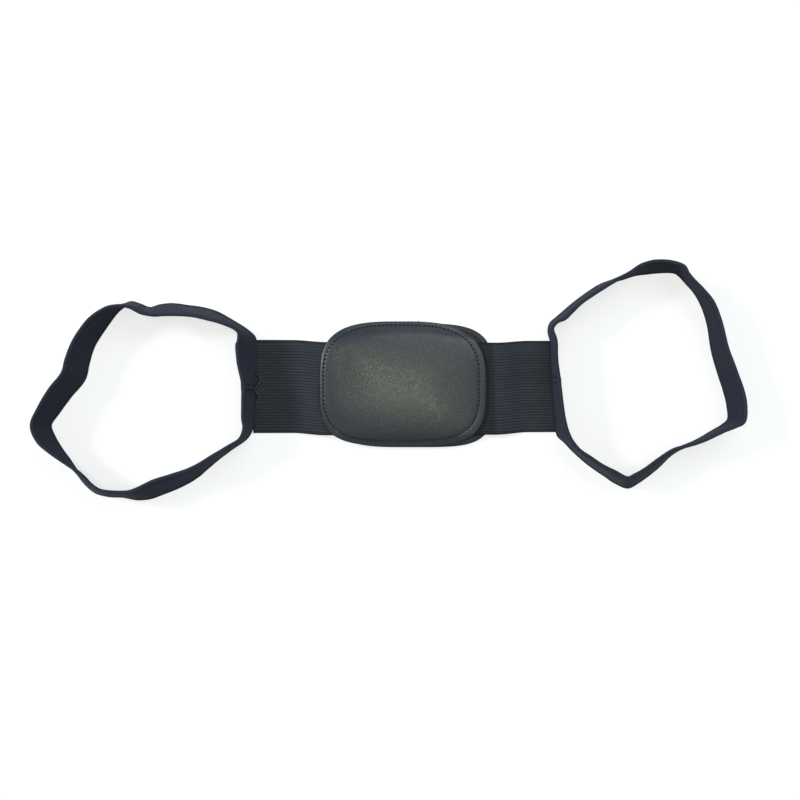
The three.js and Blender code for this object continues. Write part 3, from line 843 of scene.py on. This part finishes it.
def strap_piece(name, loop):
    frames = strap_frames(loop)
    steps = len(frames) - 1
    length = frames[-1][3]
    outline = [(rise, half, 1) for rise, half in STRAP_SECTION]
    outline += [(rise, half, -1) for rise, half in reversed(STRAP_SECTION[1:-1])]
    around = len(outline)
    strap = bmesh.new()
    cloth_map = strap.loops.layers.uv.new("cloth")
    bmesh.ops.create_grid(strap, x_segments=steps, y_segments=around, size=1.0, calc_uvs=True)
    girth = [0.0]
    for before, after in zip(outline, outline[1:] + outline[:1]):
        girth.append(girth[-1] + math.hypot(after[0] - before[0],
                                            after[1] * after[2] - before[1] * before[2]))
    drops = []
    for low, upward, through, _ in frames:
        edges = [low.z + upward.z * rise / 1000 - abs(through.z) * half / 1000
                 for rise, half in STRAP_SECTION[:6]]
        drops.append(min(edges))
    for face in strap.faces:
        for corner in face.loops:
            step = round((corner.vert.co.x + 1) / 2 * steps)
            turn = round((corner.vert.co.y + 1) / 2 * around)
            corner[cloth_map].uv = (frames[step][3], girth[turn] / 1000)
    for vert in strap.verts:
        step = round((vert.co.x + 1) / 2 * steps)
        turn = round((vert.co.y + 1) / 2 * around) % around
        low, upward, through, walked = frames[step % steps]
        rise, half, face = outline[turn]
        from_joint = (walked - loop["joint"] + length / 2) % length - length / 2
        pinch = math.exp(-(from_joint / JOINT_DIP) ** 2)
        on_roll = rise < FACE_START or rise > FACE_END
        half *= 1 + ROLL_SWELL * pinch if on_roll else 1 - FACE_PINCH * pinch
        share = (rise + SECTION_FOOT) / SECTION_HEIGHT
        inside = soft_step(0.09, 0.2, share) * soft_step(0.09, 0.2, 1 - share)
        angle = 2 * math.pi * walked / length
        ring = Vector((math.cos(angle), math.sin(angle), 0.0)) * length * 6
        fold = noise.noise(ring + Vector((0, 0, share * 1.6 + loop["side"] * 9)))
        pucker = noise.noise(ring * 5 + Vector((0, 0, share * 2.0 + face * 4)))
        sway = FOLD_DEPTH * fold * inside
        puff = PUCKER_DEPTH * pucker * (0.4 + 0.6 * inside)
        vert.co = low + upward * rise / 1000 + through * (face * (half / 1000 + puff) + sway)
        vert.co += upward * EDGE_WANDER * noise.noise(ring * 2.2) * share
        vert.co.z = max(vert.co.z - drops[step % steps], 0.0)
        vert.co += Vector((BAND_MIDDLE.x, BAND_MIDDLE.y, 0.0))
    bmesh.ops.remove_doubles(strap, verts=strap.verts[:], dist=0.000002)
    bmesh.ops.recalc_face_normals(strap, faces=strap.faces[:])
    piece = show_mesh(name, strap)
    subdivide_once(piece)
    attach(piece, "root")
    return piece, frames, drops


left_strap, left_frames, left_drops = strap_piece("arm_strap_left_cloth", LEFT_LOOP)
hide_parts("arm_strap_left")
right_strap, right_frames, right_drops = strap_piece("arm_strap_right_cloth", RIGHT_LOOP)
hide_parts("arm_strap_right")

# The straps' finish: a soft dark blue-black weave with fine lines along the strap.
STRAP_LINES = 420.0
strap_fabric, strap_tree, strap_shader = new_material("strap_fabric")
strap_map = add_node(strap_tree, "ShaderNodeUVMap", uv_map="cloth")
strap_weave = place_group(strap_tree, weave_group, {"Vector": strap_map.outputs[0],
                          "Long Yarns": 1250.0, "Cross Yarns": 900.0})
strap_tone = mix_tones(strap_tree, strap_weave.outputs["Blotches"],
                       (0.0225, 0.0255, 0.044, 1.0), (0.032, 0.0365, 0.059, 1.0))
strap_yarn = add_node(strap_tree, "ShaderNodeMapRange", {"Value": strap_weave.outputs["Height"],
                      "From Min": 0.4, "From Max": 1.1, "To Min": 0.75, "To Max": 1.2})
strap_split = add_node(strap_tree, "ShaderNodeSeparateXYZ", {0: strap_map.outputs[0]})
strap_turns = math_node(strap_tree, "MULTIPLY", strap_split.outputs["Y"],
                        2 * math.pi * STRAP_LINES)
strap_wave = math_node(strap_tree, "SINE", strap_turns.outputs[0])
strap_line = math_node(strap_tree, "MULTIPLY_ADD", strap_wave.outputs[0], 0.13,
                       strap_yarn.outputs[0])
strap_colour = add_node(strap_tree, "ShaderNodeVectorMath", {0: strap_tone.outputs["Result"],
                        "Scale": strap_line.outputs[0]}, operation="SCALE")
strap_bump = add_node(strap_tree, "ShaderNodeBump", {"Height": strap_weave.outputs["Height"],
                      "Distance": 0.00012, "Strength": 0.7})
strap_tree.links.new(strap_colour.outputs[0], strap_shader.inputs["Base Color"])
strap_tree.links.new(strap_bump.outputs[0], strap_shader.inputs["Normal"])
strap_shader.inputs["Roughness"].default_value = 0.88
strap_shader.inputs["Sheen Weight"].default_value = 0.06
strap_shader.inputs["Sheen Roughness"].default_value = 0.4
strap_shader.inputs["Specular IOR Level"].default_value = 0.25
left_strap.data.materials.append(strap_fabric)
right_strap.data.materials.append(strap_fabric)

# The straps' seams: a line of black stitches beside each edge roll, on both faces, and two
# short lines across the strap where its ends are joined.
EDGE_STITCH = 0.0028
GROOVES = (0.00188, 0.02352)
GROOVE_DEPTH = 0.00062
JOINT_SEAM_ASIDE = 0.0019
JOINT_STITCHES = 8
JOINT_STITCH_START = 0.0034
JOINT_STITCH_PITCH = 0.0024
JOINT_STITCH = 0.0016
JOINT_FACE = 0.00112


def strap_spot(frames, drops, distance):
    """The strap's lower edge, way up and way through at a distance along it."""
    length = frames[-1][3]
    wanted = distance % length
    after = min(bisect.bisect_right([item[3] for item in frames], wanted), len(frames) - 1)
    before = after - 1
    part = (wanted - frames[before][3]) / (frames[after][3] - frames[before][3])
    low = frames[before][0].lerp(frames[after][0], part)
    upward = frames[before][1].lerp(frames[after][1], part).normalized()
    through = frames[before][2].lerp(frames[after][2], part).normalized()
    low = low + BAND_MIDDLE
    low.z = frames[before][0].z - drops[before]
    return low, upward, through


def strap_stitches(name, frames, drops, joint):
    thread = bmesh.new()
    length = frames[-1][3]
    count = round(length / EDGE_STITCH)
    for number in range(count):
        ends = [strap_spot(frames, drops, length * (number + part) / count)
                for part in (0.1, 0.9)]
        patch = bmesh.new()
        for groove in GROOVES:
            for face in (-1, 1):
                start, end = [low + upward * groove + through * face * GROOVE_DEPTH
                              for low, upward, through in ends]
                lay_stitch(patch, start, end, ends[0][2] * face, 0.0008, 6, 4)
        join_patch(thread, patch)
    for beside in (-JOINT_SEAM_ASIDE, JOINT_SEAM_ASIDE):
        low, upward, through = strap_spot(frames, drops, joint + beside)
        for face in (-1, 1):
            for number in range(JOINT_STITCHES):
                rise = JOINT_STITCH_START + JOINT_STITCH_PITCH * number
                start = low + upward * rise + through * face * JOINT_FACE
                end = start + upward * JOINT_STITCH
                lay_stitch(thread, start, end, through * face, 0.0007, 6, 4)
    piece = show_mesh(name, thread)
    piece.data.materials.append(thread_finish)
    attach(piece, "root")


strap_stitches("arm_strap_left_stitches", left_frames, left_drops, LEFT_LOOP["joint"])
strap_stitches("arm_strap_right_stitches", right_frames, right_drops, RIGHT_LOOP["joint"])

# Tacks. The elastic's left end shows a patch of short dark-grey stitches in three rows, and at both
# ends a loose cord of thread hooks over the strap's lower edge, with a paler grey cord laid beside
# it as a painted highlight.
TACK_ROWS = 3
TACKS_PER_ROW = 13
TACK_PITCH = 0.00165
TACK_TOP = 0.0065
TACK_INSET = 0.0016
TACK_ROW_PITCH = 0.0018
TACK_WANDER = 0.0002
TACK_SINK = 0.00012
TACK_RUN = Vector((-0.0003, -0.0011, 0.0))
tack_and_highlight_thread = bmesh.new()
for row in range(TACK_ROWS):
    for number in range(TACKS_PER_ROW):
        up = TACK_TOP - TACK_PITCH * number
        inset = TACK_INSET + TACK_ROW_PITCH * row + TACK_WANDER * math.sin(7.0 * number + row)
        x = inset - elastic_end(-1, up)
        start = BAND_MIDDLE + Vector((x, up, 0.0))
        start.z = BAND_SEAT * band_lift(x) + ELASTIC_THICKNESS - TACK_SINK
        lay_stitch(tack_and_highlight_thread, start, start + TACK_RUN, Vector((0, 0, 1)), 0.0009, 6, 4)
# Hooked threads: distance in from the elastic's end, height up the band and height above
# the table, in millimetres.
HOOKS = {
    -1: [(-0.8, 8.4, 3.4), (0.9, 7.2, 2.2), (1.8, 5.0, 2.0), (1.2, 2.6, 2.0), (0.0, 0.6, 2.4),
         (-1.0, -1.2, 3.2), (-1.2, -3.2, 3.4), (-0.2, -4.9, 2.4), (1.1, -6.4, 2.0),
         (1.2, -8.6, 2.0), (0.3, -10.4, 2.2), (-0.8, -11.8, 3.0)],
    1: [(-0.8, 9.0, 3.2), (0.6, 7.4, 2.1), (1.2, 5.2, 2.0), (0.4, 3.0, 2.1), (-0.8, 1.4, 3.0),
        (-0.6, -0.6, 2.8), (0.9, -2.2, 2.0), (0.8, -4.2, 2.0), (-0.7, -5.8, 3.0)]}
CORD_WIDTH = 0.0011
HIGHLIGHT_CORD_ASIDE = Vector((0.0009, 0.0003, 0.0))
hook_thread = bmesh.new()
for side, spots in HOOKS.items():
    places = []
    for inset, up, height in spots:
        x = side * (elastic_end(side, up / 1000) - inset / 1000)
        places.append(BAND_MIDDLE + Vector((x, up / 1000, 0.0)))
        places[-1].z = height / 1000
    for start, end in zip(places, places[1:]):
        reach = (end - start) * 0.14
        lay_stitch(hook_thread, start - reach, end + reach, Vector((0, 0, 1)), CORD_WIDTH)
        # Painted highlight: a grey cord laid beside each stretch of the dark cord.
        lay_stitch(tack_and_highlight_thread, start + HIGHLIGHT_CORD_ASIDE, end + HIGHLIGHT_CORD_ASIDE, Vector((0, 0, 1)), 0.0008)
# A row of grey stitches across each strap beside its joint, on both faces.
GREY_STITCHES = 7
GREY_START = 0.0042
GREY_PITCH = 0.0027
GREY_FACE = 0.00085
GREY_ASIDE = 0.0004
for frames, drops, joint in ((left_frames, left_drops, LEFT_LOOP["joint"]),
                             (right_frames, right_drops, RIGHT_LOOP["joint"])):
    low, upward, through = strap_spot(frames, drops, joint - GREY_ASIDE)
    for face in (-1, 1):
        for number in range(GREY_STITCHES):
            rise = GREY_START + GREY_PITCH * number
            start = low + upward * rise + through * face * GREY_FACE
            end = start + upward * JOINT_STITCH
            lay_stitch(tack_and_highlight_thread, start, end, through * face, 0.0009)
hooks = show_mesh("elastic_end_hooked_threads", hook_thread)
hooks.data.materials.append(thread_finish)
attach(hooks, "root")
tacks_and_highlight = show_mesh("elastic_end_tacks_and_cord_highlight", tack_and_highlight_thread)
# This grey finish serves the tacks, the joint stitches and the painted highlight beside the cord.
grey_tack_and_highlight_finish = thread_finish.copy()
grey_tack_and_highlight_finish.name = "grey_thread"
for tone_node in grey_tack_and_highlight_finish.node_tree.nodes:
    if tone_node.type == "MIX":
        tone_node.inputs["A"].default_value = (0.030, 0.035, 0.043, 1.0)
        tone_node.inputs["B"].default_value = (0.085, 0.095, 0.110, 1.0)
tacks_and_highlight.data.materials.append(grey_tack_and_highlight_finish)
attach(tacks_and_highlight, "root")
